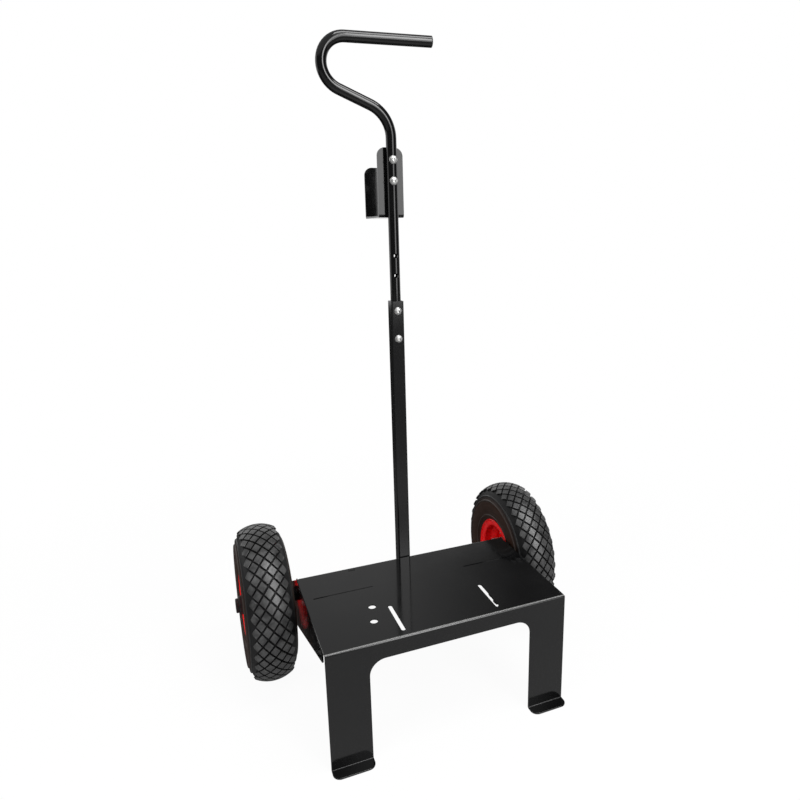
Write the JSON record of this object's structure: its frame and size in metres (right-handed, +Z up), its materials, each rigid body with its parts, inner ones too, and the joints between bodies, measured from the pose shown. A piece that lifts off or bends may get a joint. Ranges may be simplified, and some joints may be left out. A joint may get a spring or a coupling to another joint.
{
  "type": "battery trolley",
  "caption": "Two-wheeled trolley with a folded steel deck on front legs for a battery, pneumatic wheels on a rear axle, and a square mast with a crook handle and hook bracket.",
  "frame": {"origin": "on the floor, under the middle of the trolley's outline: halfway between the two axle caps, and halfway between the toes and the rear of the tyres", "axes": "+Z up; -Y towards the front, where the legs are; +X to the right seen from the front; the wheels turn about X"},
  "size_m": [0.555, 0.4119, 1.0005],
  "materials": {
    "black_powder_coat": "gloss black powder coat",
    "red_enamel": "gloss red enamel",
    "tyre_rubber": "moulded black rubber",
    "tube_rubber": "smooth black rubber",
    "zinc_plate": "bright zinc plate",
    "bearing_steel": "ground steel",
    "valve_brass": "turned brass",
    "black_plastic": "moulded black plastic"
  },
  "bodies": {
    "frame": {"front_legs": "black_powder_coat", "deck_plate": "black_powder_coat", "rear_flange": "black_powder_coat", "axle": "zinc_plate", "mast": "black_powder_coat", "mast_base_bolts": "zinc_plate", "mast_base_washers": "zinc_plate", "mast_base_nuts": "zinc_plate", "handle_tube": "black_powder_coat", "handle_end_plug": "black_plastic", "mast_screws": "zinc_plate", "mast_nuts": "zinc_plate", "hook_bracket": "black_powder_coat", "bracket_screws": "zinc_plate", "bracket_nuts": "zinc_plate", "left_side_plate": "black_powder_coat", "left_axle_spacer": "zinc_plate", "left_inner_washer": "zinc_plate", "left_outer_washer": "zinc_plate", "left_push_nut": "bearing_steel", "left_axle_cap": "black_plastic", "left_bearing_inner_rings": "bearing_steel", "right_side_plate": "black_powder_coat", "right_axle_spacer": "zinc_plate", "right_inner_washer": "zinc_plate", "right_outer_washer": "zinc_plate", "right_push_nut": "bearing_steel", "right_axle_cap": "black_plastic", "right_bearing_inner_rings": "bearing_steel"},
    "left_wheel": {"left_tyre": "tyre_rubber", "left_inner_tube": "tube_rubber", "left_outer_rim_half": "red_enamel", "left_inner_rim_half": "red_enamel", "left_hub_tube": "zinc_plate", "left_bearing_outer_rings": "bearing_steel", "left_bearing_shields": "zinc_plate", "left_rim_bolts": "zinc_plate", "left_rim_nuts": "zinc_plate", "left_valve_stem": "valve_brass", "left_valve_cap": "black_plastic"},
    "right_wheel": {"right_tyre": "tyre_rubber", "right_inner_tube": "tube_rubber", "right_outer_rim_half": "red_enamel", "right_inner_rim_half": "red_enamel", "right_hub_tube": "zinc_plate", "right_bearing_outer_rings": "bearing_steel", "right_bearing_shields": "zinc_plate", "right_rim_bolts": "zinc_plate", "right_rim_nuts": "zinc_plate", "right_valve_stem": "valve_brass", "right_valve_cap": "black_plastic"},
    "left_ball_train": {"left_bearing_balls": "bearing_steel", "left_bearing_cages": "bearing_steel"},
    "right_ball_train": {"right_bearing_balls": "bearing_steel", "right_bearing_cages": "bearing_steel"}
  },
  "joints": [
    {"name": "left_wheel_spin", "type": "hinge", "parent": "frame", "child": "left_wheel", "pos_m": [-0.232, 0.079, 0.127], "axis": [1, 0, 0], "continuous": true},
    {"name": "left_ball_train_spin", "type": "hinge", "parent": "frame", "child": "left_ball_train", "pos_m": [-0.232, 0.079, 0.127], "axis": [1, 0, 0], "continuous": true},
    {"name": "right_wheel_spin", "type": "hinge", "parent": "frame", "child": "right_wheel", "pos_m": [0.232, 0.079, 0.127], "axis": [1, 0, 0], "continuous": true},
    {"name": "right_ball_train_spin", "type": "hinge", "parent": "frame", "child": "right_ball_train", "pos_m": [0.232, 0.079, 0.127], "axis": [1, 0, 0], "continuous": true}
  ],
  "couplings": [
    {"joint": "left_ball_train_spin", "follows": "left_wheel_spin", "ratio": 0.5965},
    {"joint": "right_ball_train_spin", "follows": "right_wheel_spin", "ratio": 0.5965}
  ]
}
